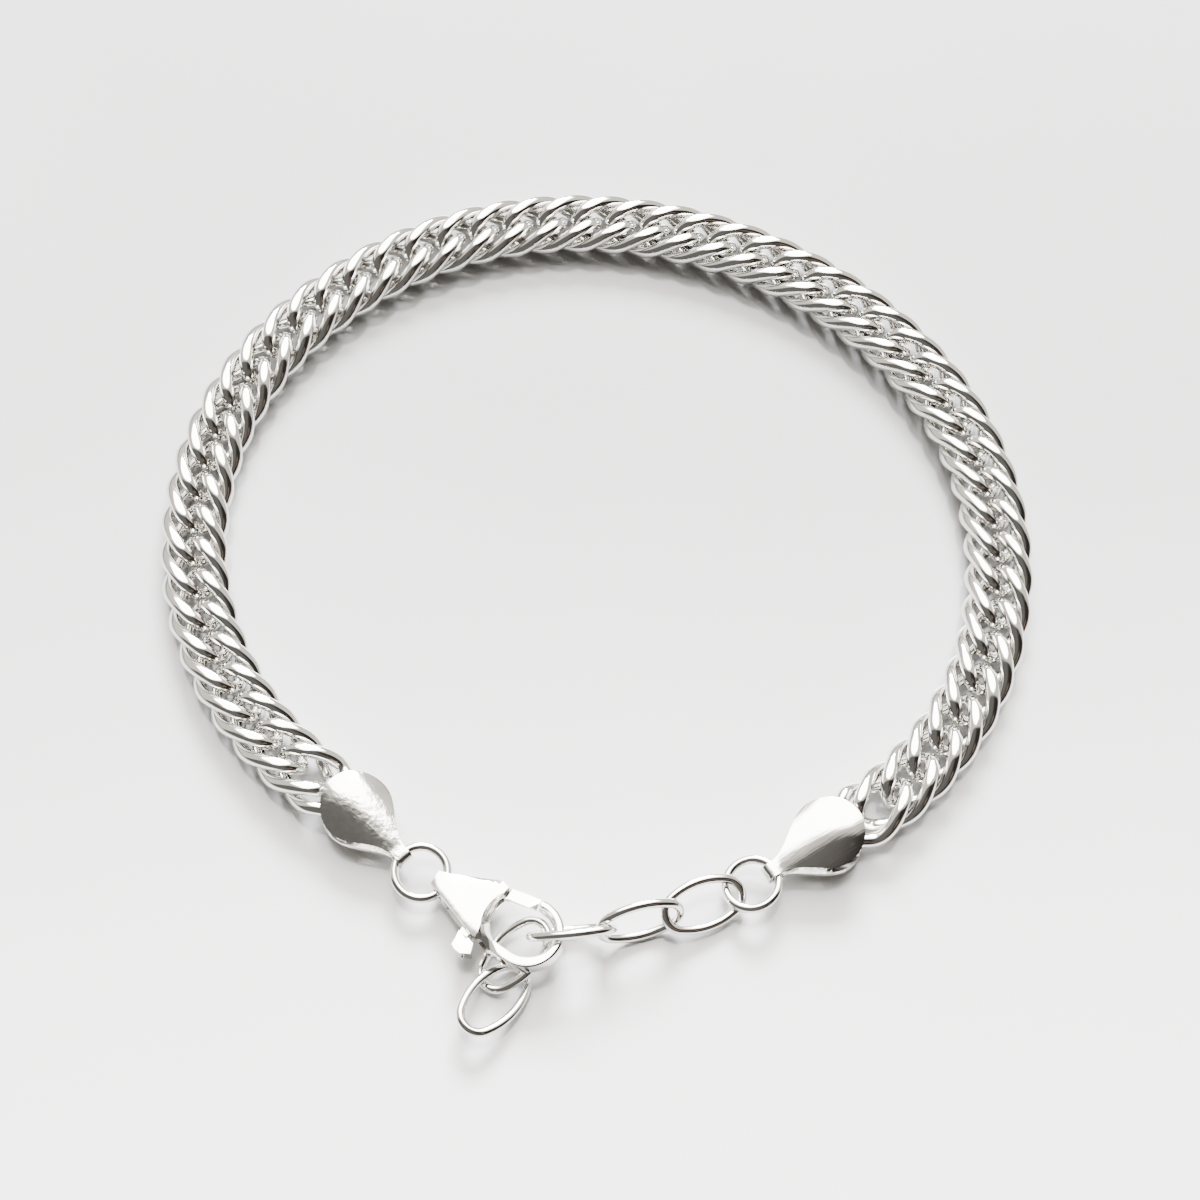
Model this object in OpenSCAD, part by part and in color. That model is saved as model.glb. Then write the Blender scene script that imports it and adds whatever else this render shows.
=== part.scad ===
// Link bracelet lying closed on a flat surface: a double curb chain with folded leaf end caps,
// a hooked clasp with a sprung lever and a short extension of plain oval links.
// Millimetres, +Z up, origin at the bottom centre of the whole piece.

/* [Show] */
// which piece is drawn

/* [Chain] */
// number of links in the chain
link_count = 52; // [48:2:56]
// distance from one link to the next
link_pitch = 3.1; // [3.05:0.05:3.2]
// diameter of the wire of a chain link
link_wire = 1.2; // [0.9:0.05:1.25]
// from the middle of the chain to the middle of the wire at its edge
link_half_width = 2.3; // [2.2:0.05:2.5]
// how far the wire rises above and below the middle of the chain
link_rise = 0.95; // [0.85:0.05:1.05]

/* [End caps] */
// length of a cap from its mouth to its tip
cap_length = 9; // [8.6:0.1:9.6]
// widest part of a cap
cap_width = 5.9; // [5.4:0.1:6.3]
// height of a cap over both of its leaves
cap_height = 3.7; // [3.5:0.1:4]
// thickness of the sheet of a cap
cap_sheet = 0.3; // [0.2:0.05:0.35]
// width of the folded strap at the tip
strap_width = 1.2; // [1:0.1:1.4]

/* [Rings and extension] */
// diameter of the wire of the rings and extension links
ring_wire = 0.68; // [0.5:0.02:0.7]
// outer diameter of the two round rings
ring_size = 4.98; // [4.9:0.02:5.04]
// outer length of an extension link
oval_length = 7.28; // [7.24:0.02:7.34]
// outer width of an extension link
oval_width = 4.38; // [4.34:0.02:4.44]

/* [Clasp] */
// height of the clasp body
clasp_height = 1.7; // [1.5:0.1:1.8]
// height of the hook
hook_height = 1.5; // [1.3:0.1:1.6]
// outer radius of the hook
hook_radius = 2.9; // [2.8:0.05:3]
// thickness of the lever inside the body
lever_height = 0.64; // [0.5:0.02:0.68]
// height of the bar that closes the mouth of the hook
gate_height = 0.9; // [0.7:0.05:0.9]
// height of the thumb tab
tab_height = 1.3; // [1:0.1:1.4]
// diameter of the pivot pin
pin_diameter = 0.7; // [0.6:0.05:0.8]

/* [Hidden] */
$fn = 48;
silver = [0.86, 0.86, 0.85];

// shift that brings the middle of the whole piece over the origin
centre_shift = [0.38, -0.67];

// the loop as arcs that turn clockwise from the left cap to the right cap: share of the length, turn
arcs = [[0.156, 49.5], [0.156, 49.5], [0.188, 51.5], [0.188, 46], [0.156, 47.5], [0.156, 50.5]];
// the rings of both caps keep their places, so the chain ends further back when its caps are longer
left_cap_heading = -46.4;
right_cap_heading = -147;
function towards(h) = [cos(h), sin(h)];
longer = cap_length - 9;
chain_start = [-21.85, -17.86] - longer * towards(left_cap_heading);
end_vector = 42.65 * towards(-3.35) + longer * (towards(left_cap_heading) - towards(right_cap_heading));
// the ends of the chain stay this far apart and in this direction, whatever its length
end_gap = norm(end_vector);
end_direction = atan2(end_vector[1], end_vector[0]);
// a chain ends this far outside the mouth of its cap, from the middle of its last link
tuck = 1;
chain_length = (link_count - 1) * link_pitch + 2 * tuck;
link_reach = 1.274 * link_pitch;
chain_middle = link_rise + 0.02 + link_wire / 2;
cap_middle = cap_height / 2;
// the chain climbs to the middle of the caps over this length
climb = 9;

function total(list, n) = n <= 0 ? 0 : list[n - 1] + total(list, n - 1);
arc_lengths = [for (a = arcs) a[0] * chain_length];
arc_starts = [for (i = [0 : len(arcs)]) total(arc_lengths, i)];

// where a clockwise arc ends that starts at p with the heading h
function arc_end(p, h, length, turn) =
    let (r = length / turn * 180 / PI)
    p + r * [sin(h) - sin(h - turn), cos(h - turn) - cos(h)];
// the far end of the route when every turn is scaled by k
function far_end(k, i = 0, h = 0, p = [0, 0]) = i == len(arcs) ? p
    : far_end(k, i + 1, h - k * arcs[i][1], arc_end(p, h, arc_lengths[i], k * arcs[i][1]));
function scale_for(low, high, n) = let (k = (low + high) / 2) n == 0 ? k
    : norm(far_end(k)) > end_gap ? scale_for(k, high, n - 1) : scale_for(low, k, n - 1);
turn_scale = scale_for(0.85, 1.15, 20);
far_point = far_end(turn_scale);
start_heading = end_direction - atan2(far_point[1], far_point[0]);
arc_turns = [for (a = arcs) turn_scale * a[1]];
arc_headings = [for (i = [0 : len(arcs)]) start_heading - total(arc_turns, i)];

function arc_point(i) = i == 0 ? chain_start
    : arc_end(arc_point(i - 1), arc_headings[i - 1], arc_lengths[i - 1], arc_turns[i - 1]);
arc_points = [for (i = [0 : len(arcs)]) arc_point(i)];

function arc_at(s, i = 0) = i == len(arcs) - 1 || s < arc_starts[i + 1] ? i : arc_at(s, i + 1);
// place and heading on the route, s from the mouth of the left cap
function route(s) =
    let (i = arc_at(s), along = s - arc_starts[i], turn = arc_turns[i] * along / arc_lengths[i],
        r = arc_lengths[i] / arc_turns[i] * 180 / PI, h = arc_headings[i] - turn)
    concat(arc_points[i] + r * [sin(arc_headings[i]) - sin(h), cos(h) - cos(arc_headings[i])], [h]);
function end_share(s) = max(0, 1 - s / climb, 1 - (chain_length - s) / climb);
function height_at(s) = chain_middle + (cap_middle - chain_middle) * pow(min(1, end_share(s)), 2);
function on_route(s, out, up) =
    let (p = route(s))
    [p[0] - out * sin(p[2]), p[1] + out * cos(p[2]), height_at(s) + up];

// one link: a long oval whose wire crosses from the upper face to the lower face at each edge
wire_sides = 6;
link_steps = 18;
squeeze = 0.8;
narrow = 0.08;
function smooth(u) = let (v = max(0, min(1, u))) v * v * (3 - 2 * v);
function link_line(t) = [
    link_reach * (0.924 * cos(t) + 0.076 * cos(3 * t)),
    link_half_width * (0.935 * sin(t) - 0.065 * sin(3 * t)),
    -link_rise * (sin(2 * t) + 0.105 * sin(4 * t))];
// the half of an end link that lies in its cap is pressed flatter and a little narrower
function pressed(p, side) = let (share = smooth(side * p[0] / 2))
    [p[0], p[1] * (1 - narrow * share), p[2] * (1 - squeeze * share)];
function step_angle(i) = let (a = 360 * i / link_steps) a - 8 * sin(2 * a);
function unit(v) = v / norm(v);
function link_skin(s, side) = [
    for (i = [0 : link_steps - 1])
        let (t = step_angle(i), p = pressed(link_line(t), side),
            along = unit(pressed(link_line(t + 1), side) - pressed(link_line(t - 1), side)),
            outward = unit(cross(along, [0, 0, 1])), up = cross(outward, along))
        for (j = [0 : wire_sides - 1])
            let (a = 360 * j / wire_sides, q = p + link_wire / 2 * (cos(a) * outward + sin(a) * up))
            on_route(s + q[0], q[1], q[2])];
// faces of a closed tube whose points start at first
function tube_faces(first, steps, sides) = [
    for (i = [0 : steps - 1], j = [0 : sides - 1])
        let (n = (i + 1) % steps, m = (j + 1) % sides,
            a = first + i * sides + j, b = first + n * sides + j,
            c = first + n * sides + m, d = first + i * sides + m)
        each [[a, b, c], [a, c, d]]];
function link_s(k) = tuck + k * link_pitch;
function link_side(k) = k == 0 ? -1 : k == link_count - 1 ? 1 : 0;

module links(from, to) {
    skins = [for (k = [from : to]) each link_skin(link_s(k), link_side(k))];
    faces = [for (k = [0 : to - from]) each tube_faces(k * link_steps * wire_sides, link_steps, wire_sides)];
    polyhedron(points = skins, faces = faces, convexity = 10);
}

// end caps: a rivet through each cap holds the last link, and the cap turns about a point just behind it
rivet_radius = 0.35;
rivet_x = link_reach - tuck - link_wire / 2 - 0.2 - rivet_radius;
cap_end_radius = cap_width / 2;
dome_radius = 16;
dome_across = 3.75;
dome_x = 1;
leaf_gap = 0.24;
strap_half = 0.77;
strap_hole = 0.48;
hole_x = cap_length - strap_half;
// a ring pulls towards the inside of its hole by this much
ring_seat = 0.1;
neck_x = cap_length - 0.9;
function neck_half(x) =
    let (u = (x - cap_end_radius) / (neck_x - cap_end_radius))
    strap_width / 2 + (cap_end_radius - strap_width / 2) * (0.5 + 0.5 * cos(180 * u));
neck_line = [for (i = [0 : 12]) let (x = cap_end_radius + (neck_x - cap_end_radius) * i / 12) [x, neck_half(x)]];

module leaf_outline(height) {
    linear_extrude(height) union() {
        translate([cap_end_radius, 0]) circle(r = cap_end_radius);
        polygon(concat(neck_line, [for (i = [12 : -1 : 0]) [neck_line[i][0], -neck_line[i][1]]]));
    }
}
module dome(grow) {
    translate([dome_x, 0, cap_height / 2 - dome_radius]) rotate([90, 0, 0])
        rotate_extrude(start = 60, angle = 58) translate([dome_radius - dome_across, 0]) circle(r = dome_across + grow);
}
module leaf() {
    translate([0, 0, leaf_gap / 2]) intersection() {
        leaf_outline(cap_height / 2 + 0.5);
        translate([0, 0, -leaf_gap / 2]) difference() {
            dome(0);
            dome(-cap_sheet);
        }
    }
}
module across(r, length) {
    translate([0, length / 2, 0]) rotate([90, 0, 0]) cylinder(r = r, h = length);
}
module block(x0, x1, y0, y1, z0, z1) {
    translate([x0, y0, z0]) cube([x1 - x0, y1 - y0, z1 - z0]);
}
module end_cap() {
    difference() {
        union() {
            leaf();
            mirror([0, 0, 1]) leaf();
            block(hole_x - 1.5, hole_x, -strap_width / 2, strap_width / 2, -strap_half, strap_half);
            translate([hole_x, 0, 0]) across(strap_half, strap_width);
            translate([rivet_x - 0.3, 0, -cap_height / 2 + 0.2]) cylinder(r = rivet_radius, h = cap_height - 0.4);
        }
        translate([hole_x, 0, 0]) across(strap_hole, strap_width + 2);
        block(hole_x - 0.75, hole_x, -2, 2, -strap_hole, strap_hole);
    }
}
// the mouth of a cap is at the end of the chain, and the cap turns about its rivet
left_rivet = on_route(-rivet_x, 0, 0);
right_rivet = on_route(chain_length + rivet_x, 0, 0);
module at_left_cap() {
    translate([left_rivet[0], left_rivet[1], cap_middle]) rotate([0, 0, left_cap_heading])
        translate([-rivet_x, 0, 0]) children();
}
module at_right_cap() {
    translate([right_rivet[0], right_rivet[1], cap_middle]) rotate([0, 0, right_cap_heading])
        translate([-rivet_x, 0, 0]) children();
}
function ahead(p, h, d) = [p[0] + d * cos(h), p[1] + d * sin(h)];
left_hole = ahead(left_rivet, left_cap_heading, hole_x - ring_seat - rivet_x);
right_hole = ahead(right_rivet, right_cap_heading, hole_x - ring_seat - rivet_x);

// rings and oval links
ring_line = (ring_size - ring_wire) / 2;
module round_ring() {
    rotate_extrude() translate([ring_line, 0]) circle(d = ring_wire);
}
oval_a = (oval_length - ring_wire) / 2;
oval_b = (oval_width - ring_wire) / 2;
oval_end = 1.45;
oval_side = (pow(oval_a - oval_end, 2) + oval_b * oval_b - oval_end * oval_end) / (2 * (oval_b - oval_end));
oval_turn = atan2(oval_side - oval_b, oval_a - oval_end);
// the oval is four arcs, and n is the direction that the edge faces
oval_sides = 8;
oval_normals = [for (half = [0, 180]) each concat(
    [for (i = [0 : 7]) half - oval_turn + i * oval_turn / 4],
    [for (i = [0 : 5]) half + oval_turn + i * (180 - 2 * oval_turn) / 6])];
function oval_point(n) = abs(cos(n)) > cos(oval_turn)
    ? [sign(cos(n)) * (oval_a - oval_end) + oval_end * cos(n), oval_end * sin(n)]
    : [oval_side * cos(n), sign(sin(n)) * (oval_b - oval_side) + oval_side * sin(n)];
module oval_link() {
    skin = [for (n = oval_normals, j = [0 : oval_sides - 1])
        let (p = oval_point(n), a = 360 * (j + 0.5) / oval_sides, r = ring_wire / 2)
        [p[0] + r * cos(a) * cos(n), p[1] + r * cos(a) * sin(n), r * sin(a)]];
    polyhedron(points = skin, faces = tube_faces(0, len(oval_normals), oval_sides), convexity = 4);
}
// a ring or link in place: how it leans, then its heading, then its middle
module lay(middle, heading, pitch, roll) {
    translate(middle) rotate([roll, -pitch, heading]) children();
}
// every extension piece is placed from the hole in the tip of the right cap
module from_right_hole(offset, z, heading, pitch, roll) {
    lay([right_hole[0] + offset[0], right_hole[1] + offset[1], z], heading, pitch, roll) children();
}

// the clasp ring joins the hole of the left cap to the eye of the clasp
ring_heading = -40;
clasp_turn = 12;
ring_middle = ahead(left_hole, ring_heading, ring_line);
eye_z = 1.5;
ring_pitch = asin((eye_z - cap_middle) / (2 * ring_line));

// clasp: x runs from the eye to the hook, y towards the mouth
clasp_heading = -32.5;
clasp_pitch = 6;
eye_x = 0.4;
eye_hole = 0.48;
eye_point = ahead(ring_middle, ring_heading + clasp_turn, ring_line);
clasp_origin = ahead(eye_point, clasp_heading, -eye_x - ring_seat);
hook_x = 8.6;
hook_y = -0.1;
hook_inner = 2.05;
slot_height = lever_height + 0.2;
pivot = [4.3, 1.75];
fit = 0.04;
module at_clasp() {
    translate([clasp_origin[0], clasp_origin[1], eye_z]) rotate([0, -clasp_pitch, clasp_heading]) children();
}
module slab(points, height) {
    translate([0, 0, -height / 2]) linear_extrude(height) polygon(points);
}
module opening() {
    translate([7.2, 0.1, -2]) cylinder(r = 2.4, h = 4);
}
module hook() {
    bevel = 0.25;
    w = hook_radius - hook_inner;
    half = hook_height / 2;
    translate([hook_x, hook_y, 0]) rotate_extrude(start = -95, angle = 192) polygon([
        [hook_inner, -half + 0.1], [hook_inner + 0.1, -half], [hook_radius - bevel, -half],
        [hook_radius, -half + bevel], [hook_radius, half - bevel], [hook_radius - bevel, half],
        [hook_inner + 0.1, half], [hook_inner, half - 0.1]]);
}

module curb_chain_left() {
    color(silver) links(0, floor(link_count / 2) - 1);
}
module curb_chain_right() {
    color(silver) links(floor(link_count / 2), link_count - 1);
}
module end_cap_left() {
    color(silver) at_left_cap() end_cap();
}
module end_cap_right() {
    color(silver) at_right_cap() end_cap();
}
module clasp_ring() {
    color(silver) lay([ring_middle[0], ring_middle[1], (cap_middle + eye_z) / 2], ring_heading, ring_pitch, 0)
        round_ring();
}
module clasp_body() {
    color(silver) at_clasp() difference() {
        union() {
            slab([[eye_x, 0.65], [4.5, 2.5], [5.4, 2.2], [5.4, -1.5], [5.9, -1.9], [5.9, -2.95], [5.8, -3],
                [4.7, -2.5], [0.6, -0.9], [eye_x, -0.65]], clasp_height);
            translate([eye_x, 0, 0]) across(clasp_height / 2 - 0.07, 1.3);
            slab([[5.1, -1], [5.1, -2.68], [5.8, -3], [hook_x, -3], [hook_x, -2.1], [6.2, -1]], hook_height);
            hook();
        }
        opening();
        // open slot between the two plates for the lever
        block(1.7, 5.1, -5, 5, -slot_height / 2, slot_height / 2);
        block(5, 6, 0.5, 5, -slot_height / 2, slot_height / 2);
        translate([eye_x, 0, 0]) across(eye_hole, 4);
        block(eye_x, eye_x + 0.6, -2, 2, -eye_hole, eye_hole);
        translate([pivot[0], pivot[1], -2]) cylinder(d = pin_diameter + 2 * fit, h = 4);
    }
}
module clasp_lever() {
    color(silver) at_clasp() difference() {
        union() {
            translate([pivot[0], pivot[1], -lever_height / 2]) cylinder(r = 0.6, h = lever_height);
            slab([[3.75, 1.7], [4.85, 1.75], [4.6, 0.4], [4.6, -2.9], [3.85, -2.9], [3.85, 0.4]], lever_height);
            slab([[4.3, 1.2], [5.8, 1.52], [5.8, 2.38], [4.3, 2.3]], lever_height);
            slab([[5.6, 1.5], [8.17, 1.9], [8.09, 2.75], [5.56, 2.38]], gate_height);
            slab([[3.65, -2.8], [5.3, -3.1], [5.7, -3.9], [4.85, -4.3], [3.7, -4.1]], tab_height);
        }
        translate([pivot[0], pivot[1], -2]) cylinder(d = pin_diameter + 2 * fit, h = 4);
    }
}
module clasp_pin() {
    color(silver) at_clasp() translate([pivot[0], pivot[1], -clasp_height / 2])
        cylinder(d = pin_diameter, h = clasp_height);
}
module extension_ring() {
    color(silver) from_right_hole([-1.75, -1], 1.6, 219, -5, 12) round_ring();
}
module extension_link_1() {
    color(silver) from_right_hole([-5.65, -2.7], 1.6, 22, -6, 29) oval_link();
}
module extension_link_2() {
    color(silver) from_right_hole([-10.7, -4.25], 2.15, 15, -3, 69) oval_link();
}
module extension_link_3() {
    color(silver) from_right_hole([-16.1, -5.25], 2.4, 5, 4, -67) oval_link();
}
module extension_link_4() {
    color(silver) from_right_hole([-20.65, -6.7], 1.05, 44, 11, -7) oval_link();
}
module extension_link_5() {
    color(silver) from_right_hole([-22.2, -10.3], 1.1, 50, -12, 8) oval_link();
}

translate([centre_shift[0], centre_shift[1], 0]) {
    curb_chain_left();
    curb_chain_right();
    end_cap_left();
    end_cap_right();
    clasp_ring();
    clasp_body();
    clasp_lever();
    clasp_pin();
    extension_ring();
    extension_link_1();
    extension_link_2();
    extension_link_3();
    extension_link_4();
    extension_link_5();
}
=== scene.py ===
import math
import bmesh
import bpy
import numpy as np
from mathutils import Matrix, Vector


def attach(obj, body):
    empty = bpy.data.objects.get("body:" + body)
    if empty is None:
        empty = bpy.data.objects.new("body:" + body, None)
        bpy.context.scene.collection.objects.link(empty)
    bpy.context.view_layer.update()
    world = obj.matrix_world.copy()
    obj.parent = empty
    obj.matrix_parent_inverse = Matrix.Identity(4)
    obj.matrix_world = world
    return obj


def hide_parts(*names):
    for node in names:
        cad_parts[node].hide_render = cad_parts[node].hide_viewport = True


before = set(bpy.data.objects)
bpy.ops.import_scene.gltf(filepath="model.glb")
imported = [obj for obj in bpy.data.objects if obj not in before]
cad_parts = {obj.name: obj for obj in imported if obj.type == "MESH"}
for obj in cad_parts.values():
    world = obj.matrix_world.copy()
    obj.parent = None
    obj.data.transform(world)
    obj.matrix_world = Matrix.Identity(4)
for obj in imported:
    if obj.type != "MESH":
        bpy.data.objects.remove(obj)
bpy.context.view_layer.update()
print("frame loaded:", len(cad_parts), "nodes")

mm = 0.001
# the loop is laid out round the spot that the camera looks at, then shifted over the origin
centreShift = Vector((0.38, -0.67, 0))


def newPiece(name, points, faces, smooth=True):
    mesh = bpy.data.meshes.new(name)
    mesh.from_pydata([tuple((Vector(p) + centreShift) * mm) for p in points], [], faces)
    mesh.validate()
    obj = bpy.data.objects.new(name, mesh)
    bpy.context.scene.collection.objects.link(obj)
    if smooth:
        mesh.polygons.foreach_set("use_smooth", [True] * len(mesh.polygons))
    return obj


def tubeFaces(first, steps, sides):
    # quads of a closed tube: steps along it, sides round it
    faces = []
    for i in range(steps):
        n = (i + 1) % steps
        for j in range(sides):
            m = (j + 1) % sides
            faces.append((first + i * sides + j, first + n * sides + j,
                          first + n * sides + m, first + i * sides + m))
    return faces


def applyModifiers(obj):
    graph = bpy.context.evaluated_depsgraph_get()
    mesh = bpy.data.meshes.new_from_object(obj.evaluated_get(graph))
    old = obj.data
    obj.modifiers.clear()
    obj.data = mesh
    mesh.name = obj.name
    bpy.data.meshes.remove(old)


def softEdges(obj, width, segments, angle):
    # rounds the edges that are sharper than the angle
    bevel = obj.modifiers.new("edges", "BEVEL")
    bevel.width = width * mm
    bevel.segments = segments
    bevel.limit_method = "ANGLE"
    bevel.angle_limit = math.radians(angle)
    bevel.harden_normals = False
    applyModifiers(obj)


def shadeByAngle(obj, angle):
    bm = bmesh.new()
    bm.from_mesh(obj.data)
    for f in bm.faces:
        f.smooth = True
    for e in bm.edges:
        e.smooth = len(e.link_faces) == 2 and e.calc_face_angle(0) < math.radians(angle)
    bm.to_mesh(obj.data)
    bm.free()


def placed(points, matrix):
    return [matrix @ Vector(p) for p in points]


def lay(middle, heading, pitch, roll):
    # leans by roll and pitch, turns to its heading, then goes to its middle
    return (Matrix.Translation(Vector(middle)) @ Matrix.Rotation(math.radians(heading), 4, "Z")
            @ Matrix.Rotation(math.radians(-pitch), 4, "Y") @ Matrix.Rotation(math.radians(roll), 4, "X"))


def ahead(p, heading, distance):
    a = math.radians(heading)
    return (p[0] + distance * math.cos(a), p[1] + distance * math.sin(a))


class Signal:
    # a socket that takes part in sums, so that an expression adds its Math nodes
    def __init__(self, bench, socket):
        self.bench = bench
        self.socket = socket

    def maths(self, operation, first, second):
        return self.bench.add("ShaderNodeMath", {"operation": operation}, {0: first, 1: second})

    def __add__(self, other):
        return self.maths("ADD", self, other)

    def __radd__(self, other):
        return self.maths("ADD", other, self)

    def __sub__(self, other):
        return self.maths("SUBTRACT", self, other)

    def __mul__(self, other):
        return self.maths("MULTIPLY", self, other)

    def __rmul__(self, other):
        return self.maths("MULTIPLY", other, self)


class Bench:
    # the node tree of one material or of the surroundings
    def __init__(self, tree):
        self.tree = tree
        tree.nodes.clear()

    def add(self, kind, settings=None, sockets=None, out=0):
        node = self.tree.nodes.new(kind)
        for key, value in (settings or {}).items():
            setattr(node, key, value)
        for key, value in (sockets or {}).items():
            if isinstance(value, Signal):
                self.tree.links.new(value.socket, node.inputs[key])
            else:
                node.inputs[key].default_value = value
        return Signal(self, node.outputs[out] if node.outputs else None)

    def smooth(self, value, low, high):
        return self.add("ShaderNodeMapRange", {"interpolation_type": "SMOOTHSTEP"},
                        {"Value": value, "From Min": low, "From Max": high, "To Min": 0.0, "To Max": 1.0})

    def blend(self, share, first, second):
        return self.add("ShaderNodeMix", {"data_type": "RGBA"}, {0: share, 6: first, 7: second}, 2)


def newMaterial(name, build):
    material = bpy.data.materials.new(name)
    material.use_nodes = True
    bench = Bench(material.node_tree)
    shader = build(bench)
    bench.add("ShaderNodeOutputMaterial", {}, {"Surface": shader})
    return material


silver = {
    "bright": (0.95, 0.935, 0.905, 1), "worn": (0.88, 0.86, 0.825, 1),
    "wornShare": 0.5, "patchFrom": 0.35, "patchTo": 0.7,
    # how many clouds, ripples and scratches there are in a metre, and how much they change the roughness
    "clouds": 420.0, "ripple": 900.0, "scratches": 2600.0, "cloudSpread": 0.07, "scratchSpread": 0.05,
    "scratchTurn": (0.3, 0.5, 0.7), "scratchStretch": (0.12, 1, 1),
    # roughness, and how deep the ripples and the scratches are
    "wire": (0.08, 0.006, 0.003), "clasp": (0.12, 0.012, 0.006),
}


def polishedSilver(bench, roughness, waves, scratch):
    place = bench.add("ShaderNodeTexCoord", out=3)
    clouds = bench.add("ShaderNodeTexNoise", {}, {"Vector": place, "Scale": silver["clouds"], "Detail": 4.0})
    ripple = bench.add("ShaderNodeTexNoise", {}, {"Vector": place, "Scale": silver["ripple"], "Detail": 2.0})
    stretched = bench.add("ShaderNodeMapping", {}, {
        "Vector": place, "Rotation": silver["scratchTurn"], "Scale": silver["scratchStretch"]})
    fine = bench.add("ShaderNodeTexNoise", {}, {
        "Vector": stretched, "Scale": silver["scratches"], "Detail": 3.0})
    colour = bench.blend(clouds * silver["wornShare"], silver["bright"], silver["worn"])
    rough = roughness + silver["cloudSpread"] * (clouds - 0.5) + silver["scratchSpread"] * (fine - 0.5)
    wave = bench.add("ShaderNodeBump", {}, {"Strength": 1.0, "Distance": waves * mm, "Height": ripple})
    normal = bench.add("ShaderNodeBump", {}, {
        "Strength": 1.0, "Distance": scratch * mm, "Height": fine, "Normal": wave})
    return bench.add("ShaderNodeBsdfPrincipled", {}, {
        "Base Color": colour, "Metallic": 1.0, "Roughness": rough, "Normal": normal})


def brushedSilver(bench, finish):
    # strokes that follow the length of a piece, over soft uneven patches
    place = bench.add("ShaderNodeTexCoord", out=3)
    along = bench.add("ShaderNodeMapping", {"vector_type": "TEXTURE"}, {
        "Vector": place, "Rotation": (0, 0, math.radians(finish["heading"])),
        "Scale": (finish["stretch"], 1, 1)})
    strokes = bench.add("ShaderNodeTexNoise", {}, {"Vector": along, "Scale": finish["strokes"], "Detail": 4.0})
    patches = bench.add("ShaderNodeTexNoise", {}, {"Vector": place, "Scale": finish["patches"], "Detail": 3.0})
    colour = bench.blend(bench.smooth(patches, silver["patchFrom"], silver["patchTo"]),
                         silver["bright"], silver["worn"])
    rough = finish["roughness"] + finish["spread"] * (strokes - 0.5)
    dent = bench.add("ShaderNodeBump", {}, {
        "Strength": 1.0, "Distance": finish["patchDepth"] * mm, "Height": patches})
    normal = bench.add("ShaderNodeBump", {}, {
        "Strength": 1.0, "Distance": finish["strokeDepth"] * mm, "Height": strokes, "Normal": dent})
    return bench.add("ShaderNodeBsdfPrincipled", {}, {
        "Base Color": colour, "Metallic": 1.0, "Roughness": rough, "Normal": normal})


wireSilver = newMaterial("polished_wire_silver", lambda b: polishedSilver(b, *silver["wire"]))
claspSilver = newMaterial("clasp_silver", lambda b: polishedSilver(b, *silver["clasp"]))
print("materials made")

# lengths here are in millimetres, and angles in degrees
chain = {
    "links": 52, "pitch": 3.1, "wire": 1.2, "halfWidth": 2.3, "rise": 0.95,
    "tuck": 1.0, "climb": 9.0, "squeeze": 0.8, "narrow": 0.08,
    # half a link's length in pitches, and how far its line is from a plain ellipse along, across and up
    "reach": 1.274, "longer": 0.076, "squarer": 0.065, "steeper": 0.105,
    "start": (-21.85, -17.86), "endGap": 42.65, "endDirection": -3.35,
    # share of the length and turn of each arc
    "arcs": ((0.156, 49.5), (0.156, 49.5), (0.188, 51.5), (0.188, 46.0), (0.156, 47.5), (0.156, 50.5)),
    # rings and sides of a link's skin; the rings gather by so many degrees where the wire crosses over
    "steps": 84, "sides": 20, "gather": 8.0,
    # the polished crests are worn flat from this far below their tops, and keep this share of their height
    "flat": 0.1, "kept": 0.2,
    # from the floor to the lowest wires
    "clear": 0.02,
}
capHeight = 3.7
chainLength = (chain["links"] - 1) * chain["pitch"] + 2 * chain["tuck"]
linkReach = chain["reach"] * chain["pitch"]
chainMiddle = chain["rise"] + chain["clear"] + chain["wire"] / 2
capMiddle = capHeight / 2


def arcEnd(p, heading, length, turn):
    r = length / math.radians(turn)
    h, g = math.radians(heading), math.radians(heading - turn)
    return (p[0] + r * (math.sin(h) - math.sin(g)), p[1] + r * (math.cos(g) - math.cos(h)))


def farEnd(scale):
    p, h = (0.0, 0.0), 0.0
    for share, turn in chain["arcs"]:
        p = arcEnd(p, h, share * chainLength, scale * turn)
        h -= scale * turn
    return p


def turnScale():
    low, high = 0.85, 1.15
    for _ in range(20):
        k = (low + high) / 2
        if math.hypot(*farEnd(k)) > chain["endGap"]:
            low = k
        else:
            high = k
    return (low + high) / 2


def makeRoute():
    scale = turnScale()
    far = farEnd(scale)
    h = chain["endDirection"] - math.degrees(math.atan2(far[1], far[0]))
    p, s, rows = chain["start"], 0.0, []
    for share, turn in chain["arcs"]:
        rows.append((s, p[0], p[1], h, share * chainLength, scale * turn))
        p = arcEnd(p, h, share * chainLength, scale * turn)
        s += share * chainLength
        h -= scale * turn
    return np.array(rows)


routeRows = makeRoute()


def onRoute(s, out, up):
    # places at distance s along the chain, set out to its outer side and up from its middle
    s, out, up = np.broadcast_arrays(np.asarray(s, float), out, up)
    row = routeRows[np.clip(np.searchsorted(routeRows[:, 0], s, side="right") - 1, 0, len(routeRows) - 1)]
    h0 = np.radians(row[..., 3])
    h = np.radians(row[..., 3] - row[..., 5] * (s - row[..., 0]) / row[..., 4])
    r = row[..., 4] / np.radians(row[..., 5])
    x = row[..., 1] + r * (np.sin(h0) - np.sin(h))
    y = row[..., 2] + r * (np.cos(h) - np.cos(h0))
    share = np.clip(np.maximum(1 - s / chain["climb"], 1 - (chainLength - s) / chain["climb"]), 0, 1)
    z = chainMiddle + (capMiddle - chainMiddle) * share ** 2
    return np.stack([x - out * np.sin(h), y + out * np.cos(h), z + up], -1)


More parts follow.
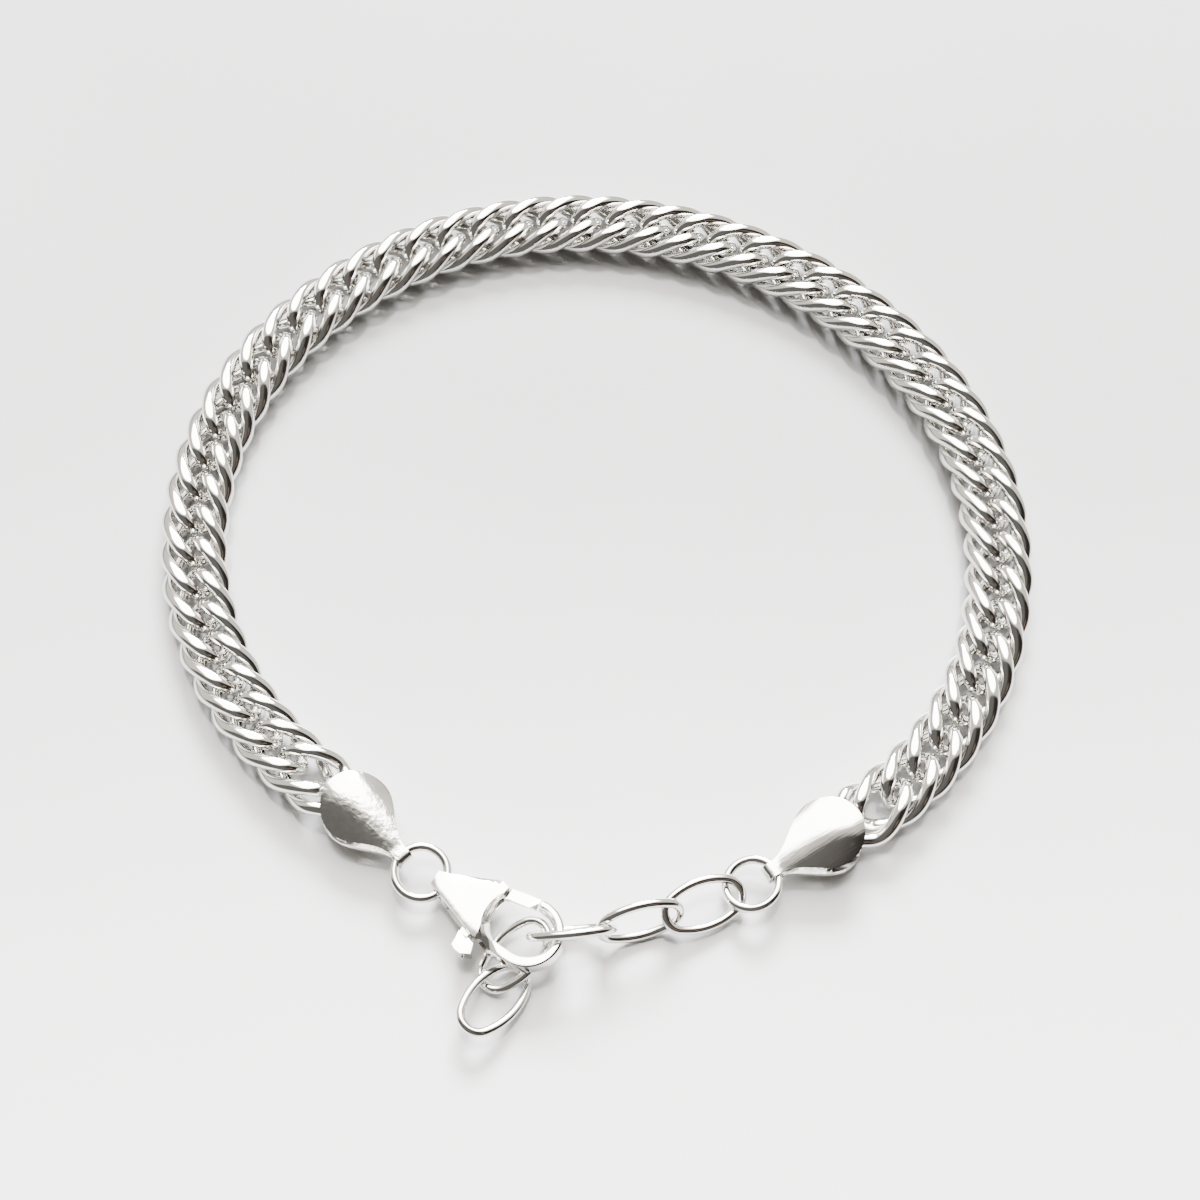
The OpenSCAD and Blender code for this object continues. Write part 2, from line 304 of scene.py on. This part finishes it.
def linkLine(t, side):
    # one long oval whose wire crosses from face to face at each edge; an end link is pressed flatter
    a, b, c = chain["longer"], chain["squarer"], chain["steeper"]
    x = linkReach * ((1 - a) * np.cos(t) + a * np.cos(3 * t))
    y = chain["halfWidth"] * ((1 - b) * np.sin(t) - b * np.sin(3 * t))
    z = -chain["rise"] * (np.sin(2 * t) + c * np.sin(4 * t))
    u = np.clip(side * x / 2, 0, 1)
    u = u * u * (3 - 2 * u)
    return np.stack([x, y * (1 - chain["narrow"] * u), z * (1 - chain["squeeze"] * u)], -1)


def linkSkin(k):
    side = -1 if k == 0 else 1 if k == chain["links"] - 1 else 0
    a = np.linspace(0, 2 * math.pi, chain["steps"], endpoint=False)
    t = a - math.radians(chain["gather"]) * np.sin(2 * a)
    p = linkLine(t, side)
    along = linkLine(t + 0.01, side) - linkLine(t - 0.01, side)
    along /= np.linalg.norm(along, axis=1)[:, None]
    outward = np.cross(along, (0, 0, 1))
    outward /= np.linalg.norm(outward, axis=1)[:, None]
    up = np.cross(outward, along)
    b = np.linspace(0, 2 * math.pi, chain["sides"], endpoint=False)
    r = chain["wire"] / 2
    across, over = np.cos(b)[None, :, None], np.sin(b)[None, :, None]
    q = p[:, None] + r * (across * outward[:, None] + over * up[:, None])
    crest = chain["rise"] + r - chain["flat"]
    z = q[..., 2]
    worn = np.sign(z) * (crest + chain["kept"] * (abs(z) - crest))
    q[..., 2] = np.where(abs(z) > crest, worn, z)
    q = q.reshape(-1, 3)
    return onRoute(chain["tuck"] + k * chain["pitch"] + q[:, 0], q[:, 1], q[:, 2])


def curbChain(name, first, last, node):
    points, faces = [], []
    for k in range(first, last):
        faces += tubeFaces(len(points), chain["steps"], chain["sides"])
        points += [tuple(p) for p in linkSkin(k)]
    piece = newPiece(name, points, faces)
    piece.data.materials.append(wireSilver)
    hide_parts(node)
    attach(piece, "bracelet")
    return piece


half = chain["links"] // 2
curbChain("chain_links_left", 0, half, "curb_chain_left")
curbChain("chain_links_right", half, chain["links"], "curb_chain_right")
print("chain made:", chain["links"], "links")

cap = {
    "length": 9.0, "width": 5.9, "sheet": 0.3, "strap": 1.2, "strapHalf": 0.77, "seat": 0.1,
    # from here the leaves slope down to the strap
    "fallX": 1.2, "fallSlope": 0.2, "fallRound": 1.5, "mouthAngle": 66.0,
    "rivetRadius": 0.35, "rivetGap": 0.2, "rim": 0.09,
    # the leaves are at their narrowest this far from the tip; beyond "strapFrom" they keep the strap's height
    "neck": 0.9, "strapFrom": 5.0, "strapTop": 0.75, "strapSoft": 0.12,
    # how squarely the strap is folded, 1 being round
    "fold": 0.66,
    # rows gather towards the mouth, and follow its curve less and less up to "bowTo" of the length
    "rows": 54, "tipRows": 14, "columns": 26, "gather": 1.25, "bowTo": 0.75, "bowFade": 0.9,
    # the left cap is rubbed unevenly, the right one is drawn out along its length
    "left": {"heading": -46.4, "across": 4.6, "stretch": 2.5, "strokes": 3000.0, "patches": 1500.0,
             "roughness": 0.13, "spread": 0.14, "patchDepth": 0.035, "strokeDepth": 0.02},
    "right": {"heading": -147.0, "across": 7.0, "stretch": 22.0, "strokes": 5200.0, "patches": 500.0,
              "roughness": 0.06, "spread": 0.07, "patchDepth": 0.008, "strokeDepth": 0.008},
}
rivetX = linkReach - chain["tuck"] - chain["wire"] / 2 - cap["rivetGap"] - cap["rivetRadius"]
holeX = cap["length"] - cap["strapHalf"]
neckX = cap["length"] - cap["neck"]
leftRivet = onRoute(-rivetX, 0, 0)
rightRivet = onRoute(chainLength + rivetX, 0, 0)
leftHole = ahead(leftRivet, cap["left"]["heading"], holeX - cap["seat"] - rivetX)
rightHole = ahead(rightRivet, cap["right"]["heading"], holeX - cap["seat"] - rivetX)


def capMatrix(rivet, heading):
    return (Matrix.Translation((rivet[0], rivet[1], capMiddle)) @ Matrix.Rotation(math.radians(heading), 4, "Z")
            @ Matrix.Translation((-rivetX, 0, 0)))


def domeTop(x, y, across):
    t = max(x - cap["fallX"], 0)
    fall = cap["fallSlope"] * (math.hypot(t, cap["fallRound"]) - cap["fallRound"])
    dome = capHeight / 2 - fall - across + math.sqrt(across * across - y * y)
    if x <= cap["strapFrom"]:
        return dome
    soft = cap["strapSoft"]
    d = max(soft - abs(dome - cap["strapTop"]), 0) / soft
    return max(dome, cap["strapTop"]) + d * d * soft / 4


def neckHalf(x):
    r = cap["width"] / 2
    if x <= r:
        return math.sqrt(max(r * r - (r - x) ** 2, 0))
    u = min((x - r) / (neckX - r), 1)
    return cap["strap"] / 2 + (r - cap["strap"] / 2) * (0.5 + 0.5 * math.cos(math.pi * u))


def capSkin(across):
    # rows run from the mouth along the upper leaf, round the folded tip and back along the lower leaf
    r = cap["width"] / 2
    mouthY = r * math.sin(math.radians(cap["mouthAngle"]))
    mouthX = r - math.sqrt(r * r - mouthY * mouthY)
    upper = []
    for i in range(cap["rows"] + 1):
        u = i / cap["rows"]
        xb = mouthX + (holeX - mouthX) * u ** cap["gather"]
        yb = neckHalf(xb)
        flatten = min(1, u / cap["bowTo"]) ** cap["bowFade"]
        row = []
        for j in range(cap["columns"] + 1):
            y = yb * math.sin(math.pi / 2 * (2 * j / cap["columns"] - 1))
            bow = (1 - flatten) * (math.sqrt(max(r * r - y * y, 0)) - math.sqrt(max(r * r - yb * yb, 0)))
            x = xb - bow
            row.append((x, y, domeTop(x, y, across)))
        upper.append(row)
    rows = list(upper)
    h = cap["strapTop"]
    for i in range(1, cap["tipRows"]):
        a = math.pi / 2 - math.pi * i / cap["tipRows"]
        c, s = math.cos(a), math.sin(a)
        x = holeX + h * abs(c) ** cap["fold"]
        z = h * math.copysign(abs(s) ** cap["fold"], s)
        rows.append([(x, p[1], z) for p in upper[-1]])
    rows += [[(p[0], p[1], -p[2]) for p in row] for row in reversed(upper)]
    points = [p for row in rows for p in row]
    n = cap["columns"] + 1
    faces = [(i * n + j, (i + 1) * n + j, (i + 1) * n + j + 1, i * n + j + 1)
             for i in range(len(rows) - 1) for j in range(n - 1)]
    return points, faces


def endCap(name, rivet, finish, node):
    points, faces = capSkin(finish["across"])
    piece = newPiece(name, placed(points, capMatrix(rivet, finish["heading"])), faces)
    wall = piece.modifiers.new("sheet", "SOLIDIFY")
    wall.thickness = cap["sheet"] * mm
    wall.offset = -1
    wall.use_even_offset = True
    applyModifiers(piece)
    softEdges(piece, cap["rim"], segments=3, angle=50)
    shadeByAngle(piece, 40)
    piece.data.materials.append(newMaterial(name + "_silver", lambda b: brushedSilver(b, finish)))
    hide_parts(node)
    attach(piece, "bracelet")
    return piece


endCap("leaf_cap_left", leftRivet, cap["left"], "end_cap_left")
endCap("leaf_cap_right", rightRivet, cap["right"], "end_cap_right")
print("end caps made")

ring = {"wire": 0.68, "fullWire": 0.76, "size": 4.98, "steps": 96, "sides": 20, "heading": -40.0}
oval = {"length": 7.28, "width": 4.38, "end": 1.45, "endSteps": 28, "sideSteps": 20, "sides": 20}
# offset from the hole of the right cap, height, heading, pitch, roll
extension = {
    "extension_ring": (-1.75, -1.0, 1.6, 219, -5, 12),
    "extension_link_1": (-5.65, -2.7, 1.6, 22, -6, 29),
    "extension_link_2": (-10.7, -4.25, 2.15, 15, -3, 69),
    "extension_link_3": (-16.1, -5.25, 2.4, 5, 4, -67),
    "extension_link_4": (-20.65, -6.7, 1.05, 44, 11, -7),
    "extension_link_5": (-22.2, -10.3, 1.1, 50, -12, 8),
}


def wireLoop(name, line, sides, matrix, node):
    # line gives each place of the wire's middle and the direction its edge faces
    r = ring["fullWire"] / 2
    points = []
    for x, y, n in line:
        for j in range(sides):
            a = 2 * math.pi * j / sides
            out = r * math.cos(a)
            points.append((x + out * math.cos(n), y + out * math.sin(n), r * math.sin(a)))
    piece = newPiece(name, placed(points, matrix), tubeFaces(0, len(line), sides))
    piece.data.materials.append(wireSilver)
    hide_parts(node)
    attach(piece, "bracelet")
    return piece


def ringLine():
    r = (ring["size"] - ring["wire"]) / 2
    angles = [2 * math.pi * i / ring["steps"] for i in range(ring["steps"])]
    return [(r * math.cos(n), r * math.sin(n), n) for n in angles]


def ovalLine():
    a, b, e = (oval["length"] - ring["wire"]) / 2, (oval["width"] - ring["wire"]) / 2, oval["end"]
    side = ((a - e) ** 2 + b * b - e * e) / (2 * (b - e))
    turn = math.atan2(side - b, a - e)
    line = []
    for start in (0, math.pi):
        for i in range(oval["endSteps"]):
            n = start - turn + 2 * turn * i / oval["endSteps"]
            line.append((math.cos(start) * (a - e) + e * math.cos(n), e * math.sin(n), n))
        for i in range(oval["sideSteps"]):
            n = start + turn + (math.pi - 2 * turn) * i / oval["sideSteps"]
            line.append((side * math.cos(n), math.cos(start) * (b - side) + side * math.sin(n), n))
    return line


ringR = (ring["size"] - ring["wire"]) / 2
eyeZ = 1.5
ringMiddle = ahead(leftHole, ring["heading"], ringR)
ringPitch = math.degrees(math.asin((eyeZ - capMiddle) / (2 * ringR)))
claspRingMatrix = lay((ringMiddle[0], ringMiddle[1], (capMiddle + eyeZ) / 2), ring["heading"], ringPitch, 0)
wireLoop("clasp_jump_ring", ringLine(), ring["sides"], claspRingMatrix, "clasp_ring")
for node, (dx, dy, z, heading, pitch, roll) in extension.items():
    line = ringLine() if node == "extension_ring" else ovalLine()
    wireLoop(node + "_wire", line, ring["sides"],
             lay((rightHole[0] + dx, rightHole[1] + dy, z), heading, pitch, roll), node)
print("rings and extension made")

clasp = {
    "heading": -32.5, "pitch": 6.0, "turn": 12.0, "bevel": 0.045,
    "half": 0.85, "lowEdge": 0.7, "lowIn": 0.08,
    "slot": 0.42, "slotFrom": 1.7, "slotTo": 5.1, "mouthFrom": 0.5, "mouthTo": 6.0,
    "eyeX": 0.4, "eyeHole": 0.48, "eyeRadius": 0.77, "eyeHalf": 0.62,
    # round the plates, from the eye along the far edge, the mouth and back along the near edge:
    # x, y, how far the top is set in, height of its shoulder, how far the bottom is set in
    "plates": (
        (-0.30, 0.62, 0.06, 0.55, 0.10), (0.80, 0.95, 0.12, 0.77, 0.08), (2.90, 1.80, 0.42, 0.66, 0.08),
        (4.30, 2.46, 0.48, 0.64, 0.08), (4.75, 2.52, 0.10, 0.72, 0.08), (5.38, 2.30, 0.04, 0.75, 0.06),
        (5.42, 1.60, 0.16, 0.50, 0.06), (5.32, 1.20, 0.30, 0.24, 0.08), (5.27, 0.75, 0.42, 0.12, 0.10),
        (5.25, 0.30, 0.48, 0.08, 0.12), (5.27, -0.10, 0.52, 0.05, 0.12), (5.33, -0.50, 0.54, 0.05, 0.12),
        (5.44, -0.90, 0.54, 0.05, 0.12), (5.62, -1.30, 0.52, 0.05, 0.12), (5.66, -2.00, 0.42, 0.05, 0.10),
        (5.40, -2.66, 0.06, 0.40, 0.08), (5.00, -2.66, 0.06, 0.60, 0.02), (2.60, -1.72, 0.08, 0.70, -0.20),
        (0.75, -1.02, 0.05, 0.70, -0.14), (-0.30, -0.66, 0.08, 0.55, 0.10)),
    "hookX": 8.6, "hookY": -0.1, "hookOuter": 2.9, "hookInner": 2.05,
    "hookFrom": -98, "hookTo": 97, "hookSteps": 64, "hookSwell": 0.05,
    "rootX": 7.45, "rootY": 0.1, "rootRadius": 2.2, "rootFrom": 205, "rootTurn": 57, "rootSteps": 14,
    # the hook's section at its root, in its bend and towards its tip: half its height, then how far
    # the top edge is cut back and down on the inner side, and on the outer side
    "sectionRoot": (0.79, 0.50, 0.72, 0.30, 0.24), "sectionBend": (0.75, 0.10, 0.15, 0.10, 0.12),
    "sectionTip": (0.75, 0.36, 0.50, 0.16, 0.12), "rootLean": 0.36,
    "pivotX": 4.3, "pivotY": 1.75, "pinRadius": 0.35, "knuckle": 0.6,
    "leverHalf": 0.32, "gateTop": 0.45, "gateLow": 0.2, "tabHalf": 0.65,
    "footX": 4.95, "footZ": -0.42, "footRadius": 0.24, "roundSteps": 32,
}
eyePoint = ahead(ringMiddle, ring["heading"] + clasp["turn"], ringR)
claspOrigin = ahead(eyePoint, clasp["heading"], -clasp["eyeX"] - cap["seat"])
claspMatrix = lay((claspOrigin[0], claspOrigin[1], eyeZ), clasp["heading"], clasp["pitch"], 0)


def setIn(outline, amounts):
    # moves each corner of a closed outline into the metal
    n = len(outline)
    moved = []
    for i in range(n):
        a, b, c = outline[i - 1], outline[i], outline[(i + 1) % n]
        d = Vector((c[0] - a[0], c[1] - a[1])).normalized()
        moved.append((b[0] + d[1] * amounts[i], b[1] - d[0] * amounts[i]))
    return moved


def stack(levels):
    # closed solid between outlines of the same count, each (points, heights), from the top down
    points, faces = [], []
    n = len(levels[0][0])
    for outline, heights in levels:
        points += [(x, y, z) for (x, y), z in zip(outline, heights)]
    for k in range(len(levels) - 1):
        for i in range(n):
            j = (i + 1) % n
            faces.append((k * n + i, k * n + j, (k + 1) * n + j, (k + 1) * n + i))
    faces.append(tuple(reversed(range(n))))
    faces.append(tuple(range((len(levels) - 1) * n, len(levels) * n)))
    return points, faces


def prism(outline, half):
    return stack([(outline, [half] * len(outline)), (outline, [-half] * len(outline))])


def block(x0, x1, y0, y1, half):
    return prism([(x0, y0), (x0, y1), (x1, y1), (x1, y0)], half)


def barrel(x, z, radius, y0, y1, steps=32):
    # a round bar across the clasp
    points = [(x + radius * math.cos(a), y, z + radius * math.sin(a))
              for y in (y0, y1) for a in (2 * math.pi * i / steps for i in range(steps))]
    faces = [(i, (i + 1) % steps, steps + (i + 1) % steps, steps + i) for i in range(steps)]
    faces += [tuple(reversed(range(steps))), tuple(range(steps, 2 * steps))]
    return points, faces


def claspSolid(name, shape):
    points, faces = shape
    solid = newPiece(name, placed(points, claspMatrix), faces, smooth=False)
    bm = bmesh.new()
    bm.from_mesh(solid.data)
    bmesh.ops.recalc_face_normals(bm, faces=bm.faces)
    bm.to_mesh(solid.data)
    bm.free()
    return solid


def combine(piece, others, operation):
    for other in others:
        step = piece.modifiers.new("step", "BOOLEAN")
        step.object = other
        step.operation = operation
        step.solver = "EXACT"
    applyModifiers(piece)
    for other in others:
        bpy.data.objects.remove(other)


def eased(u):
    u = min(1, max(0, u))
    return u * u * (3 - 2 * u)


def between(first, second, share):
    return [p + (q - p) * share for p, q in zip(first, second)]


def hookSections():
    # of each section, its inner and its outer place, how much its top leans outwards, and its form
    rows = []
    for k in range(clasp["rootSteps"]):
        u = k / clasp["rootSteps"]
        turn = clasp["rootFrom"] + clasp["rootTurn"] * u
        inner = ahead((clasp["rootX"], clasp["rootY"]), turn, clasp["rootRadius"])
        outer = (5.0 + 3.0 * u, -2.64 - 0.40 * eased(1.5 * u))
        lean = clasp["rootLean"] * (1 - eased((u - 0.45) / 0.5))
        form = between(clasp["sectionRoot"], clasp["sectionBend"], eased((u - 0.35) / 0.65))
        rows.append((inner, outer, lean, form))
    middle = (clasp["hookX"], clasp["hookY"])
    for k in range(clasp["hookSteps"] + 1):
        u = k / clasp["hookSteps"]
        turn = clasp["hookFrom"] + (clasp["hookTo"] - clasp["hookFrom"]) * u
        swell = clasp["hookSwell"] * math.sin(math.pi * u) ** 2
        form = between(clasp["sectionBend"], clasp["sectionTip"], eased((u - 0.2) / 0.35))
        rows.append((ahead(middle, turn, clasp["hookInner"] + swell),
                     ahead(middle, turn, clasp["hookOuter"] + swell), 0, form))
    return rows


def hookShape():
    points, faces = [], []
    rows = hookSections()
    for inner, outer, lean, (h, backIn, dropIn, backOut, dropOut) in rows:
        e = Vector((outer[0] - inner[0], outer[1] - inner[1])).normalized()
        corners = ((inner, backIn, h), (outer, -backOut, h - lean), (outer, 0, h - lean - dropOut),
                   (outer, 0, 0.15 - h), (outer, -0.12, -h), (inner, 0.1, -h), (inner, 0, 0.1 - h),
                   (inner, 0, h - dropIn))
        points += [(p[0] + e[0] * d, p[1] + e[1] * d, z) for p, d, z in corners]
    n = len(points) // len(rows)
    for k in range(len(rows) - 1):
        for i in range(n):
            j = (i + 1) % n
            faces.append((n * k + i, n * k + j, n * k + n + j, n * k + n + i))
    faces.append(tuple(range(n)))
    faces.append(tuple(reversed(range(len(points) - n, len(points)))))
    return points, faces


def platesShape():
    rows = clasp["plates"]
    outline = [(r[0], r[1]) for r in rows]
    top = setIn(outline, [r[2] for r in rows])
    bottom = setIn(outline, [r[4] for r in rows])
    h = clasp["half"]
    flat = [h] * len(rows)
    shoulder = [r[3] for r in rows]
    return stack([(top, flat), (outline, shoulder), (bottom, [-clasp["lowEdge"]] * len(rows)),
                  (setIn(bottom, [clasp["lowIn"]] * len(rows)), [-h] * len(rows))])


def dressClasp(piece, node, body):
    softEdges(piece, clasp["bevel"], segments=2, angle=28)
    shadeByAngle(piece, 38)
    piece.data.materials.append(claspSilver)
    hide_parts(node)
    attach(piece, body)


def claspBody():
    body = claspSolid("clasp_plates_and_hook", platesShape())
    eyeHalf = clasp["eyeHalf"]
    combine(body, [claspSolid("hook", hookShape()),
                   claspSolid("eye", barrel(clasp["eyeX"], 0, clasp["eyeRadius"], -eyeHalf, eyeHalf))], "UNION")
    slot = block(clasp["slotFrom"], clasp["slotTo"], -5, 5, clasp["slot"])
    mouthSlot = block(clasp["slotTo"] - 0.1, clasp["mouthTo"], clasp["mouthFrom"], 5, clasp["slot"])
    combine(body, [claspSolid("slot", slot), claspSolid("mouth_slot", mouthSlot),
                   claspSolid("eye_hole", barrel(clasp["eyeX"], 0, clasp["eyeHole"], -3, 3)),
                   claspSolid("eye_room", block(clasp["eyeX"], 1.0, -3, 3, clasp["eyeHole"]))], "DIFFERENCE")
    dressClasp(body, "clasp_body", "bracelet")


def roundPivot(radius):
    # a circle round the pivot, clockwise
    steps = clasp["roundSteps"]
    return [ahead((clasp["pivotX"], clasp["pivotY"]), -360 * i / steps, radius) for i in range(steps)]


def claspLever():
    thick = clasp["leverHalf"]
    lever = claspSolid("clasp_thumb_lever", prism(roundPivot(clasp["knuckle"]), thick))
    arm = [(3.75, 1.7), (4.3, 2.0), (4.85, 1.75), (4.6, 0.4), (4.6, -2.9), (3.85, -2.9), (3.85, 0.4)]
    neck = [(4.3, 1.2), (4.3, 2.3), (5.8, 2.38), (5.8, 1.52)]
    gate = [(5.6, 1.5), (5.56, 2.38), (6.8, 2.62), (8.02, 2.74), (8.17, 1.92), (6.9, 1.66)]
    # its underside slopes up to the inner edge, clear of the link that hangs in the hook
    gateLow = [(5.6, 1.62), (5.56, 2.3), (6.8, 2.54), (7.92, 2.66), (8.0, 2.2), (6.9, 1.95)]
    gatePlate = stack([(gate, [clasp["gateTop"]] * 6), (gate, [-0.02] * 6), (gateLow, [-clasp["gateLow"]] * 6)])
    tab = [(3.95, -2.78), (4.7, -2.86), (5.45, -3.05), (5.74, -3.88), (5.0, -4.28), (4.45, -4.2), (4.02, -3.98)]
    foot = barrel(clasp["footX"], clasp["footZ"], clasp["footRadius"], -4.32, -4.0, 20)
    combine(lever, [claspSolid("arm", prism(arm, thick)), claspSolid("neck", prism(neck, thick)),
                    claspSolid("gate", gatePlate), claspSolid("tab", prism(tab, clasp["tabHalf"])),
                    claspSolid("foot", foot)], "UNION")
    dressClasp(lever, "clasp_lever", "lever")


def claspPin():
    # polished flush above, a little proud below
    levels = [(roundPivot(share * clasp["pinRadius"]), [z] * clasp["roundSteps"])
              for share, z in ((1, 0.84), (1, -0.84), (0.9, -0.87), (0.6, -0.89))]
    dressClasp(claspSolid("clasp_pivot_pin", stack(levels)), "clasp_pin", "bracelet")


claspBody()
claspLever()
claspPin()
print("clasp made")

# from here on lengths are in metres, apart from the camera's
stage = {
    # the floor's colour rises from back to front towards the camera, which is painted light falloff
    "back": (0.335, 0.331, 0.331, 1), "front": (0.72, 0.711, 0.711, 1), "far": 0.03, "near": -0.08,
    "clouds": 14.0, "cloudShare": 0.3, "gloss": 0.14, "size": 6.0, "height": -0.00002,
}
studio = {
    # a lit room stands behind the piece, with a white panel high in it
    "room": (0.118, 0.112, 0.1, 1), "lift": 0.04, "from": -0.03, "to": 0.12, "low": 0.02, "rim": 0.16,
    "panel": (1.75, 1.71, 1.64, 1), "panelTowards": (0.61, 0.79), "panelFrom": 0.85, "panelTo": 0.90,
    # the side of the camera is dim, and darkest on the right, where faint brown shapes stand
    "dusk": (0.017, 0.0165, 0.0155, 1), "dark": (0.0035, 0.0031, 0.0028, 1),
    "left": -0.1, "right": 0.5, "cornerLow": 0.02, "cornerHigh": 0.26,
    "furniture": (0.026, 0.0195, 0.0155, 1), "shapes": 3.2, "shapesFrom": 0.54, "shapesTo": 0.62,
    "strength": 9.0,
    # the window's own light
    "daylight": (0.94, 0.975, 1.0), "window": (0.05, 0.80, 0.50),
    "windowSize": (0.40, 0.27), "windowPower": 82.0,
}
# the distance from the middle of the loop is in millimetres
view = {"elevation": 65.0, "distance": 215.0, "focal": 76.2, "sensor": 36.0}


def paleStone(bench):
    # painted light falloff: a little brighter towards the camera, with faint clouds
    place = bench.add("ShaderNodeTexCoord", out=3)
    clouds = bench.add("ShaderNodeTexNoise", {}, {"Vector": place, "Scale": stage["clouds"], "Detail": 4.0})
    y = bench.add("ShaderNodeSeparateXYZ", {}, {0: place}, 1)
    share = bench.smooth(y, stage["far"], stage["near"]) + stage["cloudShare"] * (clouds - 0.5)
    colour = bench.blend(share, stage["back"], stage["front"])
    return bench.add("ShaderNodeBsdfPrincipled", {}, {
        "Base Color": colour, "Roughness": stage["gloss"], "Specular IOR Level": 0.5})


def makeFloor():
    s, z = stage["size"] / 2, stage["height"]
    mesh = bpy.data.meshes.new("floor")
    mesh.from_pydata([(-s, -s, z), (s, -s, z), (s, s, z), (-s, s, z)], [], [(0, 1, 2, 3)])
    floor = bpy.data.objects.new("floor", mesh)
    bpy.context.scene.collection.objects.link(floor)
    floor.data.materials.append(newMaterial("pale_floor", paleStone))


def makeSurroundings():
    # only the direction counts here: y runs away from the camera, z up
    world = bpy.data.worlds.new("studio")
    bpy.context.scene.world = world
    world.use_nodes = True
    bench = Bench(world.node_tree)
    place = bench.add("ShaderNodeTexCoord", out=0)
    x = bench.add("ShaderNodeSeparateXYZ", {}, {0: place}, 0)
    y = bench.add("ShaderNodeSeparateXYZ", {}, {0: place}, 1)
    z = bench.add("ShaderNodeSeparateXYZ", {}, {0: place}, 2)
    back = bench.smooth(y + studio["lift"] * z, studio["from"], studio["to"])
    back = back * bench.smooth(z, studio["low"], studio["rim"])
    towards = studio["panelTowards"]
    panel = bench.smooth(towards[0] * y + towards[1] * z, studio["panelFrom"], studio["panelTo"])
    corner = bench.smooth(x, studio["left"], studio["right"])
    corner = corner * bench.smooth(z, studio["cornerLow"], studio["cornerHigh"])
    shapes = bench.add("ShaderNodeTexNoise", {}, {"Vector": place, "Scale": studio["shapes"], "Detail": 2.0})
    shapes = corner * bench.smooth(shapes, studio["shapesFrom"], studio["shapesTo"])
    front = bench.blend(shapes, bench.blend(corner, studio["dusk"], studio["dark"]), studio["furniture"])
    colour = bench.blend(back, front, bench.blend(panel, studio["room"], studio["panel"]))
    glow = bench.add("ShaderNodeBackground", {}, {"Color": colour, "Strength": studio["strength"]})
    bench.add("ShaderNodeOutputWorld", {}, {"Surface": glow})


def makeWindow():
    # turned to the middle of the floor
    light = bpy.data.lights.new("window_light", "AREA")
    light.shape = "RECTANGLE"
    light.size, light.size_y = studio["windowSize"]
    light.energy = studio["windowPower"]
    light.color = studio["daylight"]
    window = bpy.data.objects.new("window_light", light)
    bpy.context.scene.collection.objects.link(window)
    window.location = Vector(studio["window"])
    window.rotation_euler = (-window.location).to_track_quat("-Z", "Y").to_euler()


def makeCamera():
    data = bpy.data.cameras.new("camera")
    data.lens = view["focal"]
    data.sensor_width = view["sensor"]
    data.clip_start = 0.005
    camera = bpy.data.objects.new("camera", data)
    bpy.context.scene.collection.objects.link(camera)
    e = math.radians(view["elevation"])
    target = centreShift * mm
    camera.location = target + Vector((0, -math.cos(e), math.sin(e))) * view["distance"] * mm
    camera.rotation_euler = (math.pi / 2 - e, 0, 0)
    bpy.context.scene.camera = camera


makeFloor()
makeSurroundings()
makeWindow()
makeCamera()
print("floor, light and camera set")
